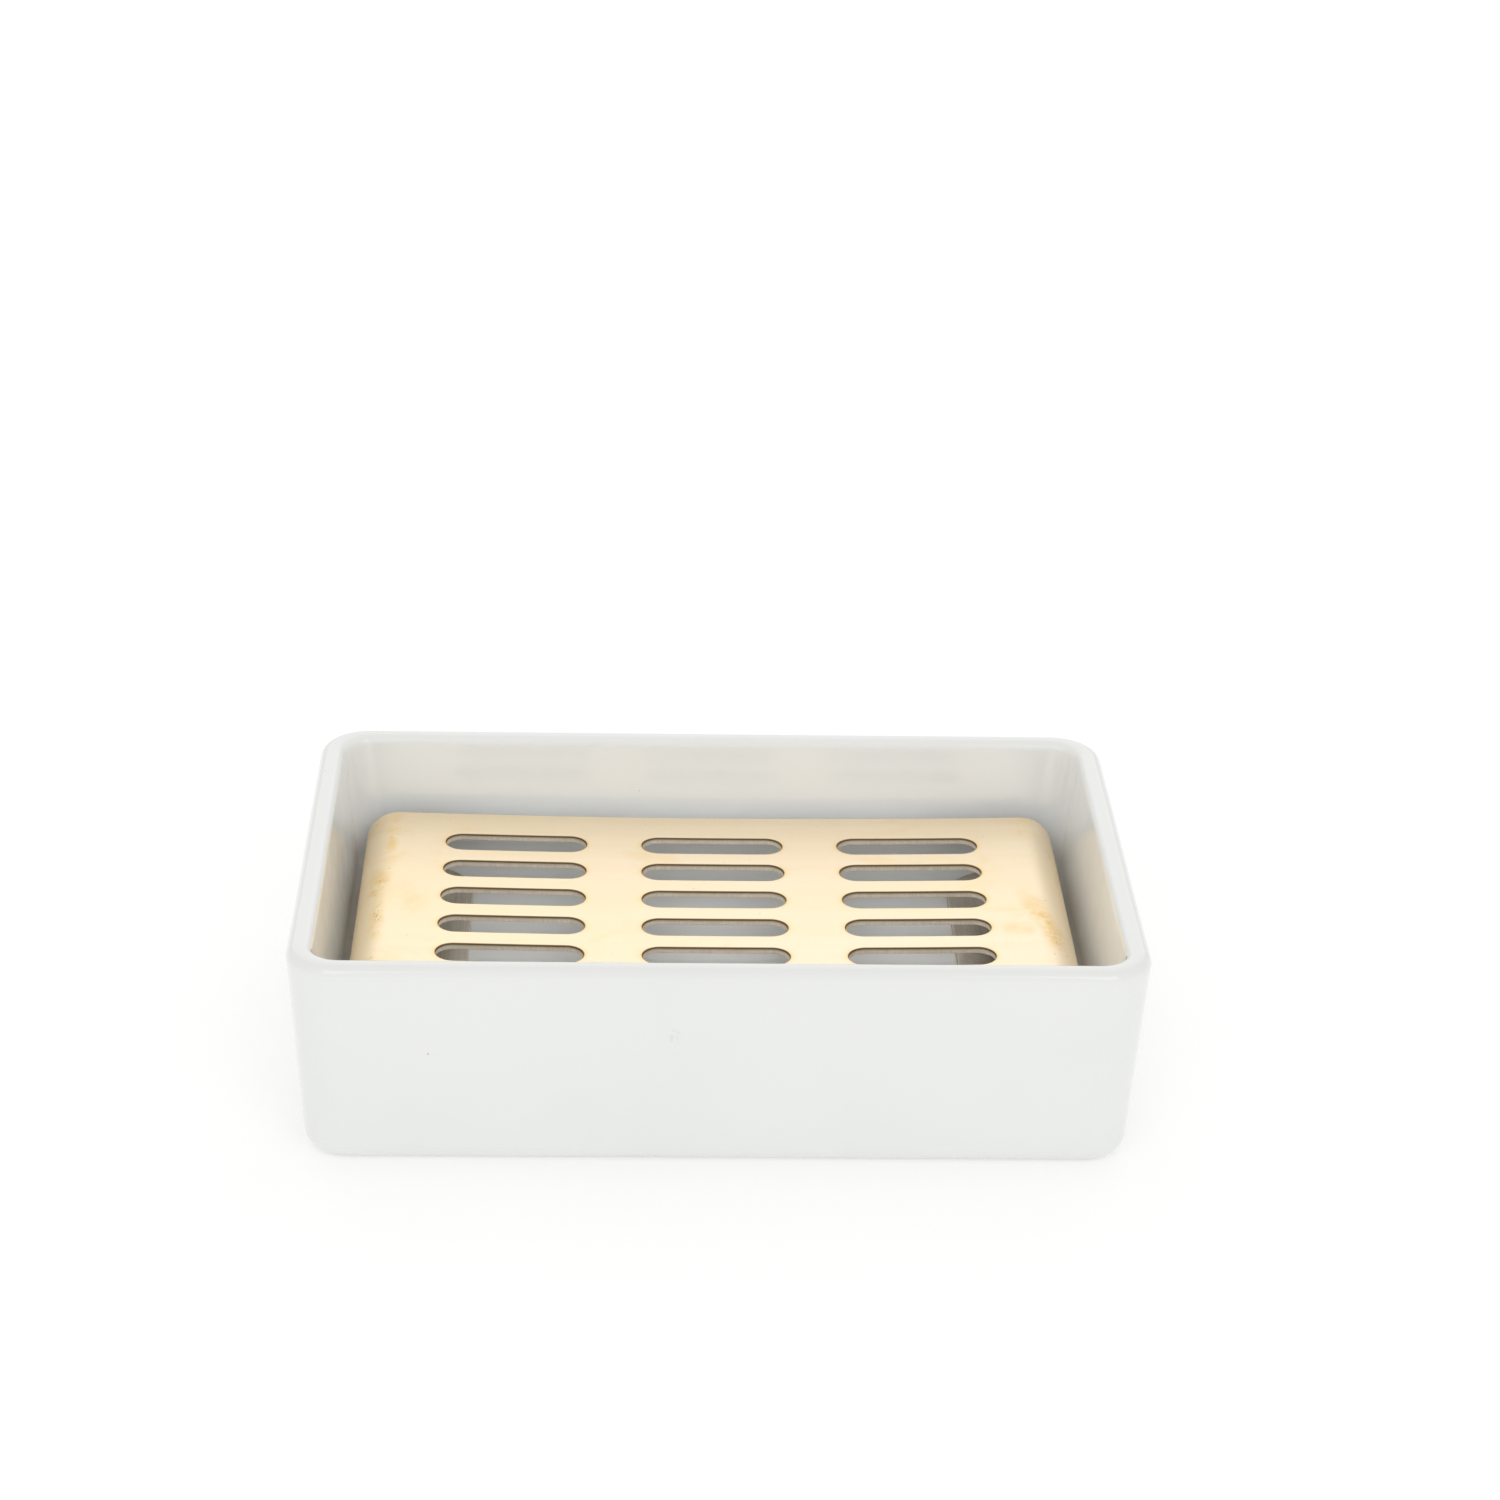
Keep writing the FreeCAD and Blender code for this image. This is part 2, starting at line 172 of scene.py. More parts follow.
ct, st = math.cos(TILT), math.sin(TILT)
back_turn = Matrix.Rotation(-TURN, 3, "Z")
eye = back_turn @ Vector((-SIDE, -ct * AWAY - st * RISE, st * AWAY - ct * RISE))
right = back_turn @ Vector((1, 0, 0))
up = back_turn @ Vector((0, st, ct))
right, up = math.cos(ROLL) * right + math.sin(ROLL) * up, math.cos(ROLL) * up - math.sin(ROLL) * right
ahead = up.cross(right)

camera_data = bpy.data.cameras.new("camera")
camera_data.sensor_fit = "HORIZONTAL"
camera_data.sensor_width = 36.0
camera_data.lens = FOCAL * 36.0
camera_data.clip_start = 0.01
camera_data.clip_end = 20.0
camera = bpy.data.objects.new("camera", camera_data)
bpy.context.scene.collection.objects.link(camera)
axes = Matrix((right, up, -ahead)).transposed().to_4x4()
camera.matrix_world = Matrix.Translation(eye * MM) @ axes
bpy.context.scene.camera = camera

# ------------------------------------------------------------------ light and floor
scene = bpy.context.scene
scene.view_settings.view_transform = "Standard"
scene.view_settings.look = "None"
scene.view_settings.exposure = 0.0
scene.view_settings.gamma = 1.0

world = bpy.data.worlds.new("studio")
world.use_nodes = True
world.node_tree.nodes["Background"].inputs["Color"].default_value = (1.0, 0.995, 0.985, 1.0)
world.node_tree.nodes["Background"].inputs["Strength"].default_value = 0.85
scene.world = world


def softbox(name, place, size, power, colour=(1, 1, 1), aim=(0, 0, 0.015)):
    data = bpy.data.lights.new(name, "AREA")
    data.shape = "RECTANGLE"
    data.size, data.size_y = size
    data.energy = power
    data.color = colour
    light = bpy.data.objects.new(name, data)
    scene.collection.objects.link(light)
    light.location = place
    light.rotation_mode = "QUATERNION"
    light.rotation_quaternion = (Vector(aim) - Vector(place)).to_track_quat("-Z", "Y")
    return light


softbox("key", (0.397, -0.80, 0.66), (0.45, 0.55), 1.0, (1.0, 0.99, 0.975))
softbox("fill", (-0.345, -0.80, 0.66), (0.45, 0.55), 0.85)
softbox("back", (0.0, 1.30, 1.15), (2.2, 1.7), 4.7)

floor_nodes = Nodes("pale_floor")
speck = floor_nodes.noise(floor_nodes.scaled(0.02, 0.02, 0.02), 1.0, 2.0)
floor_nodes.put(floor_nodes.shader.inputs["Base Color"],
                floor_nodes.mix(speck, (0.60, 0.60, 0.60, 1), (0.612, 0.612, 0.610, 1)))
floor_nodes.shader.inputs["Emission Color"].default_value = (1.0, 1.0, 0.995, 1)
floor_nodes.shader.inputs["Emission Strength"].default_value = 0.42
floor_nodes.shader.inputs["Roughness"].default_value = 0.9
floor_nodes.shader.inputs["Specular IOR Level"].default_value = 0.1
floor = mesh_object("floor", [(-3000, -3000, -0.05), (3000, -3000, -0.05), (3000, 3000, -0.05), (-3000, 3000, -0.05)],
                    [(0, 1, 2, 3)], [0], [floor_nodes.material])

# ------------------------------------------------------------------ materials
# --- glaze
n = Nodes("white_glaze")
p = n.shader
cloud = n.noise(n.scaled(0.035, 0.035, 0.035), 1.0, 3.0, 0.5)
body = n.mix(n.ramp(cloud, 0.3, 0.7), (0.785, 0.800, 0.788, 1), (0.802, 0.816, 0.804, 1))
# painted light: the inside is painted whiter and a little cooler than the outside, to lift the shade in the hollow and
# cancel the warm light the gold tray throws on it
painted_light_inside = n.mix(n.ramp(cloud, 0.3, 0.7), (0.872, 0.893, 0.896, 1), (0.888, 0.907, 0.909, 1))
body = n.mix(n.attribute("inside"), body, painted_light_inside)
# darker where the glaze runs thinner on the rim and the foot's edge and a little more of the clay shows; on the rim's
# top, where it is strongest, this darkening is also painted shade
thin_glaze_and_shade = n.attribute("thin_glaze_and_shade")
body = n.mix(n.math("MULTIPLY", thin_glaze_and_shade, 0.55), body, (0.740, 0.738, 0.716, 1))
# it pools in the inside corners, where it looks faintly cooler still
body = n.mix(n.math("MULTIPLY", n.attribute("pool"), 0.5), body, (0.820, 0.852, 0.852, 1))
# a few dark iron specks under the glaze, on the front, the other walls, the rim and inside
spot = n.dot(-43.54, -41.05, 19.65, 0.19)
for x, y, z, radius in ((21.6, 40.9, 15.2, 0.24), (-30.8, 41.2, 24.8, 0.16), (64.1, -17.5, 20.4, 0.22), (-63.9, 11.3, 12.1, 0.24),
                        (-63.4, 25.0, 34.4, 0.17), (34.2, 38.1, 27.7, 0.18), (-12.0, 37.8, 25.1, 0.14), (57.9, -41.3, 26.3, 0.13)):
    spot = n.math("MAXIMUM", spot, n.dot(x, y, z, radius))
body = n.mix(n.math("MULTIPLY", spot, 0.60), body, (0.25, 0.22, 0.18, 1))
# and a faint grey rub mark on the front
rub = n.math("MULTIPLY", n.dot(-6.87, -41.28, 23.16, 1.5), n.ramp(n.noise(n.scaled(1.9, 1.9, 1.9), 1.0, 3.0, 0.6), 0.50, 0.60))
body = n.mix(n.math("MULTIPLY", rub, 0.16), body, (0.42, 0.42, 0.42, 1))
n.put(p.inputs["Base Color"], body)
rough = n.noise(n.scaled(0.25, 0.25, 0.25), 1.0, 3.0, 0.6)
n.put(p.inputs["Roughness"], n.ramp(rough, 0.25, 0.75, 0.10, 0.17))
p.inputs["IOR"].default_value = 1.5
p.inputs["Coat Weight"].default_value = 0.45
p.inputs["Coat Roughness"].default_value = 0.06
swell = n.noise(n.scaled(0.09, 0.09, 0.09), 1.0, 2.0, 0.4)
peel = n.noise(n.scaled(0.9, 0.9, 0.9), 1.0, 2.0, 0.4)
n.put(p.inputs["Normal"], n.bump(peel, 0.25, 0.02, n.bump(swell, 0.30, 0.25)))
glaze = n.material

# --- bare clay of the foot ring
n = Nodes("bare_clay")
p = n.shader
grain = n.noise(n.scaled(3.0, 3.0, 3.0), 1.0, 4.0, 0.7)
smear = n.noise(n.scaled(0.12, 0.12, 0.12), 1.0, 3.0, 0.5)
clay = n.mix(n.ramp(grain, 0.3, 0.7), (0.60, 0.575, 0.53, 1), (0.70, 0.68, 0.64, 1))
clay = n.mix(n.math("MULTIPLY", n.ramp(smear, 0.52, 0.72), 0.35), clay, (0.47, 0.44, 0.39, 1))
n.put(p.inputs["Base Color"], clay)
n.put(p.inputs["Roughness"], n.ramp(grain, 0.2, 0.8, 0.72, 0.92))
n.put(p.inputs["Normal"], n.bump(grain, 0.5, 0.06))
clay_material = n.material

# --- the gold coated outer skin
n = Nodes("gold_coated_steel")
p = n.shader
X, Y, Z = n.axes()
gold = (0.950, 0.810, 0.585, 1)
pale = (0.970, 0.840, 0.645, 1)
drift = n.noise(n.scaled(0.022, 0.05, 0.022), 1.0, 3.0, 0.5)
skin = n.mix(n.ramp(drift, 0.35, 0.65), gold, pale)
# long faint bands along X, left by rolling
bands = n.noise(n.scaled(0.004, 0.35, 0.35), 1.0, 2.0, 0.5)
skin = n.mix(n.math("MULTIPLY", n.ramp(bands, 0.40, 0.60), 0.12), skin, (0.90, 0.74, 0.47, 1))
# thin brush lines along the front to back direction
brush = n.noise(n.scaled(4.0, 0.02, 4.0), 1.0, 3.0, 0.6)
skin = n.mix(n.math("MULTIPLY", n.ramp(brush, 0.3, 0.7), 0.06), skin, (0.86, 0.70, 0.45, 1))
# rubbed and tarnished smears on the shoulders of both bends
blotch = n.noise(n.scaled(0.11, 0.075, 0.11, (3.1, 1.7, 0)), 1.0, 4.0, 0.6, 0.4)
fine = n.noise(n.scaled(2.1, 1.0, 2.1), 1.0, 4.0, 0.72)
mottle = n.noise(n.scaled(0.42, 0.34, 0.42, (5.3, 0.9, 0)), 1.0, 4.0, 0.62)


def near(value, centre, half):
    """1 at centre, falling to 0 at half away."""
    return n.ramp(n.math("ABSOLUTE", n.math("SUBTRACT", value, centre)), 0.0, half, 1.0, 0.0)


def patch(cx, cy, hx, hy):
    return n.math("MULTIPLY", near(X, cx, hx), near(Y, cy, hy))


top_side = n.ramp(Z, 18.0, 19.5)
def most(*values):
    value = values[0]
    for other in values[1:]:
        value = n.math("MAXIMUM", value, other)
    return value


def weaker(value, share):
    return n.math("MULTIPLY", value, share)


slant = n.math("MULTIPLY_ADD", Y, 0.21, X)        # along the diagonal smear on the right
diagonal = n.math("MULTIPLY", near(slant, 51.9, 3.0), near(Y, -3.0, 14.0))
smear = most(patch(-54.0, 8.0, 3.2, 8.0), weaker(patch(-53.4, -4.0, 1.8, 12.0), 0.8), weaker(patch(-53.8, -26.5, 2.8, 8.0), 0.9),
             weaker(patch(-52.6, 24.0, 1.6, 16.0), 0.6), diagonal, weaker(patch(51.9, 31.0, 3.0, 6.0), 0.7),
             weaker(patch(48.4, -5.5, 5.0, 3.0), 0.5), weaker(patch(-49.0, 2.0, 5.0, 8.0), 0.30))
smear = n.math("MULTIPLY", smear, n.math("MULTIPLY", n.ramp(blotch, 0.28, 0.58), n.ramp(mottle, 0.34, 0.62, 0.30, 1.15)), clamp=True)
skin = n.mix(n.math("MULTIPLY", n.math("MULTIPLY", smear, top_side), 0.90), skin, (0.84, 0.585, 0.200, 1))
core = n.math("MULTIPLY", near(slant, 52.3, 1.3), near(Y, -9.5, 5.0))
scratch = n.math("MULTIPLY", most(patch(-53.4, -3.5, 1.0, 7.5), patch(-53.4, -17.0, 0.9, 4.5), weaker(patch(-54.2, 8.0, 2.2, 5.0), 0.6),
                                  weaker(core, 0.8), weaker(patch(55.3, 22.5, 0.9, 2.4), 0.8), weaker(patch(-53.9, -27.0, 1.5, 4.0), 0.5)),
                 n.ramp(fine, 0.53, 0.66))
skin = n.mix(n.math("MULTIPLY", n.math("MULTIPLY", scratch, top_side), 0.80), skin, (0.42, 0.245, 0.065, 1))
# water marks on the deck
marks = n.math("MULTIPLY", n.ramp(n.noise(n.scaled(0.06, 0.09, 0.06, (7.7, 2.2, 0)), 1.0, 5.0, 0.62, 0.8), 0.54, 0.70), 0.34)
skin = n.mix(marks, skin, (0.90, 0.69, 0.36, 1))
# the coating is warmer where heat and water gathered, at the slots' ends
skin = n.mix(n.math("MULTIPLY", n.attribute("tint"), 0.6), skin, (0.93, 0.64, 0.22, 1))
# small dark specks
distance, colour = n.cells(n.scaled(0.22, 0.22, 0.22), 1.0, flat=True)
split = n.tree.nodes.new("ShaderNodeSeparateColor")
n.link(colour, split.inputs["Color"])
few = n.math("MULTIPLY", n.ramp(split.outputs["Green"], 0.66, 1.0, 0.0, 0.75), top_side)
size = n.ramp(split.outputs["Blue"], 0.0, 1.0, 0.30, 0.85)
spot = n.math("MULTIPLY", n.ramp(n.math("DIVIDE", distance, size), 0.018, 0.040, 1.0, 0.0), few)
skin = n.mix(spot, skin, (0.30, 0.20, 0.09, 1))
# the rolled-in edge turns brown where the coating ends
edge = n.attribute("rolled")
skin = n.mix(n.ramp(edge, 0.02, 0.55), skin, (0.155, 0.105, 0.045, 1))
n.put(p.inputs["Base Color"], skin)
p.inputs["Metallic"].default_value = 1.0
n.put(p.inputs["Roughness"], n.math("ADD", n.ramp(drift, 0.2, 0.8, 0.43, 0.49), n.math("ADD", n.math("MULTIPLY", smear, 0.10), n.math("MULTIPLY", edge, 0.15))))
wave = n.noise(n.scaled(0.05, 0.05, 0.05), 1.0, 2.0, 0.5)
n.put(p.inputs["Normal"], n.bump(brush, 0.05, 0.01, n.bump(wave, 0.12, 0.3)))
gold_material = n.material

# --- cut edges: bare steel, sheared through the thickness
n = Nodes("cut_steel")
p = n.shader
shear = n.noise(n.scaled(3.4, 3.4, 0.5), 1.0, 3.0, 0.65)
dull = n.noise(n.scaled(0.5, 0.5, 0.5), 1.0, 3.0, 0.5)
depth = n.attribute("depth")
metal = n.mix(n.ramp(shear, 0.25, 0.75), (0.80, 0.69, 0.56, 1), (0.93, 0.84, 0.72, 1))
metal = n.mix(n.math("MULTIPLY", n.ramp(dull, 0.45, 0.75), 0.25), metal, (0.62, 0.52, 0.41, 1))
# darker just under the rolled edge, brighter towards the far side
metal = n.mix(n.ramp(depth, 0.22, 0.60, 0.60, 0.0), metal, (0.24, 0.185, 0.12, 1))
n.put(p.inputs["Base Color"], metal)
p.inputs["Metallic"].default_value = 0.55
n.put(p.inputs["Roughness"], n.ramp(shear, 0.2, 0.8, 0.55, 0.70))
n.put(p.inputs["Normal"], n.bump(shear, 0.35, 0.03))
cut_material = n.material

# --- the bare inner skin, brushed from front to back
n = Nodes("bare_brushed_steel")
p = n.shader
hair = n.noise(n.scaled(5.5, 0.05, 5.5), 1.0, 4.0, 0.65)
broad = n.noise(n.scaled(0.8, 0.02, 0.8), 1.0, 3.0, 0.5)
stain = n.noise(n.scaled(0.09, 0.07, 0.09), 1.0, 4.0, 0.6)
metal = n.mix(n.ramp(hair, 0.25, 0.75), (0.545, 0.495, 0.43, 1), (0.74, 0.685, 0.61, 1))
metal = n.mix(n.math("MULTIPLY", n.ramp(broad, 0.35, 0.65), 0.30), metal, (0.45, 0.405, 0.34, 1))
metal = n.mix(n.math("MULTIPLY", n.ramp(stain, 0.55, 0.75), 0.35), metal, (0.44, 0.37, 0.27, 1))
# soft pale smudges, wiped across the brush lines
smudge = n.ramp(n.noise(n.scaled(0.15, 0.10, 0.15, (2.2, 6.1, 0)), 1.0, 4.0, 0.6, 0.6), 0.50, 0.70)
metal = n.mix(n.math("MULTIPLY", smudge, 0.45), metal, (0.82, 0.775, 0.70, 1))
n.put(p.inputs["Base Color"], metal)
p.inputs["Metallic"].default_value = 1.0
n.put(p.inputs["Roughness"], n.math("ADD", n.ramp(hair, 0.2, 0.8, 0.34, 0.50), n.math("MULTIPLY", smudge, 0.08)))
n.put(p.inputs["Normal"], n.bump(hair, 0.30, 0.02))
inner_material = n.material

# ------------------------------------------------------------------ ceramic dish
HEIGHT = 34.5
RIM_X, RIM_Y, RIM_C = 65.0, 42.0, 8.0
BASE_X, BASE_Y, BASE_C = 62.8, 39.8, 6.5
OPEN_X, OPEN_Y, OPEN_C = 61.2, 38.2, 4.6
FLOOR_X, FLOOR_Y, FLOOR_C, FLOOR_Z = 58.8, 37.4, 6.0, 11.5
RECESS_X, RECESS_Y, RECESS_C, RECESS_Z = 55.3, 32.3, 6.0, 3.0
N_CORNER, N_LONG, N_SHORT = 20, 30, 20


def outer_at(z):
    f = z / HEIGHT
    return BASE_X + (RIM_X - BASE_X) * f, BASE_Y + (RIM_Y - BASE_Y) * f, BASE_C + (RIM_C - BASE_C) * f


def inner_at(z):
    f = (z - FLOOR_Z) / (HEIGHT - FLOOR_Z)
    return FLOOR_X + (OPEN_X - FLOOR_X) * f, FLOOR_Y + (OPEN_Y - FLOOR_Y) * f, FLOOR_C + (OPEN_C - FLOOR_C) * f


outer_lean = math.atan((RIM_X - BASE_X) / HEIGHT)
lean_x = math.atan((OPEN_X - FLOOR_X) / (HEIGHT - FLOOR_Z))
lean_y = math.atan((OPEN_Y - FLOOR_Y) / (HEIGHT - FLOOR_Z))

# each ring: half length, half depth, corner, height on the long sides' ends, height on the others,
# how much thinner the glaze is (also painted shade on the rim's top), how it pools, and whether it is bare clay above
# this ring
rings = []


def add_ring(hx, hy, rc, zx, zy=None, thin_glaze_and_shade=0.0, pool=0.0, bare=False):
    rings.append((hx, hy, max(rc, 0.4), zx, zx if zy is None else zy, thin_glaze_and_shade, pool, bare))


def span(a, b, count, skip_first=False):
    return [a + (b - a) * i / count for i in range(1 if skip_first else 0, count + 1)]


# the recess under the dish, from its middle outwards
for f in (0.12, 0.3, 0.5, 0.7, 0.86, 0.95):
    add_ring((RECESS_X - 1.2) * f, (RECESS_Y - 1.2) * f, 4.8 * f + 0.4, RECESS_Z)
for t in span(0, 90, 6):
    a = math.radians(t)
    inset = 1.2 - 1.2 * math.sin(a)
    add_ring(RECESS_X - inset, RECESS_Y - inset, RECESS_C - inset, 1.8 + 1.2 * math.cos(a), pool=0.8)
for t in span(0, 90, 5):
    a = math.radians(t)
    out = 0.5 - 0.5 * math.cos(a)
    add_ring(RECESS_X + out, RECESS_Y + out, RECESS_C + out, 0.5 - 0.5 * math.sin(a), thin_glaze_and_shade=0.8, bare=t > 40)
# the foot ring
for out in (1.2, 2.6, 3.9):
    add_ring(RECESS_X + out, RECESS_Y + out, RECESS_C, 0.0, bare=True)
# its outer edge; the glaze starts a little way up
r = 3.0
for t in span(-90, -math.degrees(outer_lean), 12):
    a = math.radians(t)
    z = r + r * math.sin(a)
    wx, wy, wc = outer_at(z)
    cx, cy = outer_at(r)[0] - r / math.cos(outer_lean), outer_at(r)[1] - r / math.cos(outer_lean)
    hx, hy = cx + r * math.cos(a), cy + r * math.cos(a)
    add_ring(hx, hy, max(wc - (wx - hx), 2.4), z, thin_glaze_and_shade=max(0.0, 1 - (t + 78) / 40) if t > -78 else 1.0, bare=t < -72)
# the wall
for z in span(3.6, 32.0, 16):
    wx, wy, wc = outer_at(z)
    add_ring(wx, wy, wc, z)
# the rim, outer half
r = 1.9
zc = HEIGHT - r
for t in span(-math.degrees(outer_lean), 90, 12):
    a = math.radians(t)
    cx, cy = outer_at(zc)[0] - r / math.cos(outer_lean), outer_at(zc)[1] - r / math.cos(outer_lean)
    hx, hy = cx + r * math.cos(a), cy + r * math.cos(a)
    z = zc + r * math.sin(a)
    wx, wy, wc = outer_at(z)
    # the glaze thinning peaks on the rim's top and darkens it: partly thinner glaze, partly painted shade
    add_ring(hx, hy, wc - (wx - hx), z, thin_glaze_and_shade=0.15 + 0.75 * max(0.0, math.sin(a)) ** 2)
# the rim, inner half
rim_top = len(rings)
r = 1.5
zc = HEIGHT - r
ix, iy, ic = inner_at(zc)
for t in span(0, 1, 11, True):
    ax = math.radians(90 + t * (90 - math.degrees(lean_x)))
    ay = math.radians(90 + t * (90 - math.degrees(lean_y)))
    hx = ix + r / math.cos(lean_x) + r * math.cos(ax)
    hy = iy + r / math.cos(lean_y) + r * math.cos(ay)
    zx, zy = zc + r * math.sin(ax), zc + r * math.sin(ay)
    wx, wy, wc = inner_at(zx)
    add_ring(hx, hy, wc + (hx - wx), zx, zy, thin_glaze_and_shade=0.9 * (1 - t))
# the inside wall
wall_top = len(rings)
for z in span(32.4, 15.4, 12):
    wx, wy, wc = inner_at(z)
    add_ring(wx, wy, wc, z)
# the inside corner
r = 3.3
zc = FLOOR_Z + r
ix, iy, ic = inner_at(zc)
for t in span(0, 1, 12):
    ax = -lean_x + t * (-math.pi / 2 + lean_x)
    ay = -lean_y + t * (-math.pi / 2 + lean_y)
    hx = ix - r / math.cos(lean_x) + r * math.cos(ax)
    hy = iy - r / math.cos(lean_y) + r * math.cos(ay)
    add_ring(hx, hy, ic - (ix - hx), zc + r * math.sin(ax), zc + r * math.sin(ay), pool=math.sin(math.pi * t) ** 2)
# the floor
for f in (0.96, 0.88, 0.74, 0.55, 0.35, 0.15):
    add_ring((FLOOR_X - 3.3) * f, (FLOOR_Y - 3.3) * f, 2.7 * f + 0.3, FLOOR_Z)


def ring_points(hx, hy, rc, zx, zy):
    out = []
    corners = [(hx - rc, hy - rc, 0), (-hx + rc, hy - rc, 90), (-hx + rc, -hy + rc, 180), (hx - rc, -hy + rc, 270)]
    counts = [N_LONG, N_SHORT, N_LONG, N_SHORT]
    for k, (cx, cy, start) in enumerate(corners):
        for i in range(N_CORNER):
            a = math.radians(start + 90.0 * i / N_CORNER)
            w = math.cos(a) ** 2
            out.append((cx + rc * math.cos(a), cy + rc * math.sin(a), zx * w + zy * (1 - w)))
        a = math.radians(start + 90)
        w = math.cos(a) ** 2
        first = (cx + rc * math.cos(a), cy + rc * math.sin(a))
        nx, ny, ns = corners[(k + 1) % 4]
        b = math.radians(start + 90)
        last = (nx + rc * math.cos(b), ny + rc * math.sin(b))
        z = zx * w + zy * (1 - w)
        for i in range(counts[k]):
            f = i / counts[k]
            out.append((first[0] + (last[0] - first[0]) * f, first[1] + (last[1] - first[1]) * f, z))
    return out


def uneven(point):
    """A cast and fired dish is never quite true: a few hundredths of a millimetre, slowly varying."""
    x, y, z = point
    lift = min(max((z - 1.5) / 6.0, 0.0), 1.0)
    if abs(x) < 57 and abs(y) < 35.5 and z < 12.0:
        lift = 0.0
    at = Vector((x, y, z)) / 26.0
    vx, vy, vz = (noise.noise(at + Vector(shift)) for shift in ((4.2, 9.1, 2.7), (31.7, 5.3, 18.2), (12.9, 40.6, 7.4)))
    return (x + 0.07 * lift * vx, y + 0.07 * lift * vy, z + 0.035 * lift * vz)


vertices, faces, which, thin_glaze_and_shade_values, pool_values, inside_values = [], [], [], [], [], []
vertices.append((0, 0, RECESS_Z))
thin_glaze_and_shade_values.append(0.0)
pool_values.append(0.0)
inside_values.append(0.0)
count = 4 * N_CORNER + 2 * N_LONG + 2 * N_SHORT
for k, (hx, hy, rc, zx, zy, thin_glaze_and_shade, pool, bare) in enumerate(rings):
    # inside: 0 outside, rising over the rim's inner half to 1 on the inside walls; the glaze paints the inside lighter
    # by it, as painted light
    inside = min(max((k + 1 - rim_top) / (wall_top - rim_top), 0.0), 1.0)
    for point in ring_points(hx, hy, rc, zx, zy):
        vertices.append(uneven(point))
        thin_glaze_and_shade_values.append(thin_glaze_and_shade)
        pool_values.append(pool)
        inside_values.append(inside)
for i in range(count):
    faces.append((0, 1 + (i + 1) % count, 1 + i))
    which.append(0)
for k in range(len(rings) - 1):
    a, b = 1 + k * count, 1 + (k + 1) * count
    for i in range(count):
        j = (i + 1) % count
        faces.append((a + i, a + j, b + j, b + i))
        which.append(1 if rings[k][7] else 0)
vertices.append((0, 0, FLOOR_Z))
thin_glaze_and_shade_values.append(0.0)
pool_values.append(0.0)
inside_values.append(1.0)
last, a = len(vertices) - 1, 1 + (len(rings) - 1) * count
for i in range(count):
    faces.append((a + i, a + (i + 1) % count, last))
    which.append(0)
dish = mesh_object("glazed_dish", vertices, faces, which, [glaze, clay_material])
point_values(dish, "thin_glaze_and_shade", thin_glaze_and_shade_values)
point_values(dish, "pool", pool_values)
point_values(dish, "inside", inside_values)
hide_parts("ceramic_dish")
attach(dish, "root")

# ------------------------------------------------------------------ drain tray
WIDTH, DEPTH, TALL, SHEET = 115.0, 68.0, 11.2, 1.1
FOOT, FOOT_C, SAG = 18.0, 9.0, 0.7
SLOT_L, SLOT_W, PITCH_X, PITCH_Y, COLUMNS, ROWS = 23.0, 5.5, 32.2, 9.45, 3, 6
R = TALL / 2
A = WIDTH / 2 - R
F = WIDTH / 2 - FOOT
low = TALL - SAG
b = low - R
RHO = (A * A + b * b - R * R) / (2 * (R - b))
ZC = low + RHO
PHI = math.atan2(A, ZC - R)
DECK_END = RHO * math.sin(PHI)
ROLL_R = 0.27        # the rolled-in edge on the outer skin
BURR_R = 0.10        # the inner skin's edge


def on_deck(x, y, d):
    a = math.asin(x / RHO)
    return ((RHO + d) * math.sin(a), y, ZC - (RHO + d) * math.cos(a) + FLOOR_Z)


def on_curl(side, angle, y, d):
    """angle from 90 degrees + PHI, at the deck, down to -90 degrees, at the foot"""
    return (side * (A + (R - d) * math.cos(angle)), y, R + (R - d) * math.sin(angle) + FLOOR_Z)


def on_foot(side, x, y, d):
    return (side * x, y, d + FLOOR_Z)


NX, NY = 36, 10
zone_y = PITCH_Y * ROWS / 2
zone_x = PITCH_X * COLUMNS / 2
inner_rows = [-zone_y + PITCH_Y * i / NY for i in range(NY * ROWS + 1)]
edge_angles = [30, 38, 46, 54, 61, 68, 74, 79, 83, 87, 90]
N_MARGIN = len(edge_angles)
rows = list(range(N_MARGIN + len(inner_rows) + N_MARGIN))


def row_y(i, e):
    """Row i's depth position when the outline is drawn in by e."""
    if i < N_MARGIN:
        a = math.radians(edge_angles[N_MARGIN - 1 - i])
        return -(DEPTH / 2 - FOOT_C + (FOOT_C - e) * math.sin(a))
    i -= N_MARGIN
    if i < len(inner_rows):
        return inner_rows[i]
    i -= len(inner_rows)
    a = math.radians(edge_angles[i])
    return DEPTH / 2 - FOOT_C + (FOOT_C - e) * math.sin(a)


def foot_end(y, e):
    """Where the foot's free end is, drawn in by e."""
    over = abs(y) - (DEPTH / 2 - FOOT_C)
    if over <= 0:
        return F + e
    return F + FOOT_C - math.sqrt(max((FOOT_C - e) ** 2 - over ** 2, 0.0))


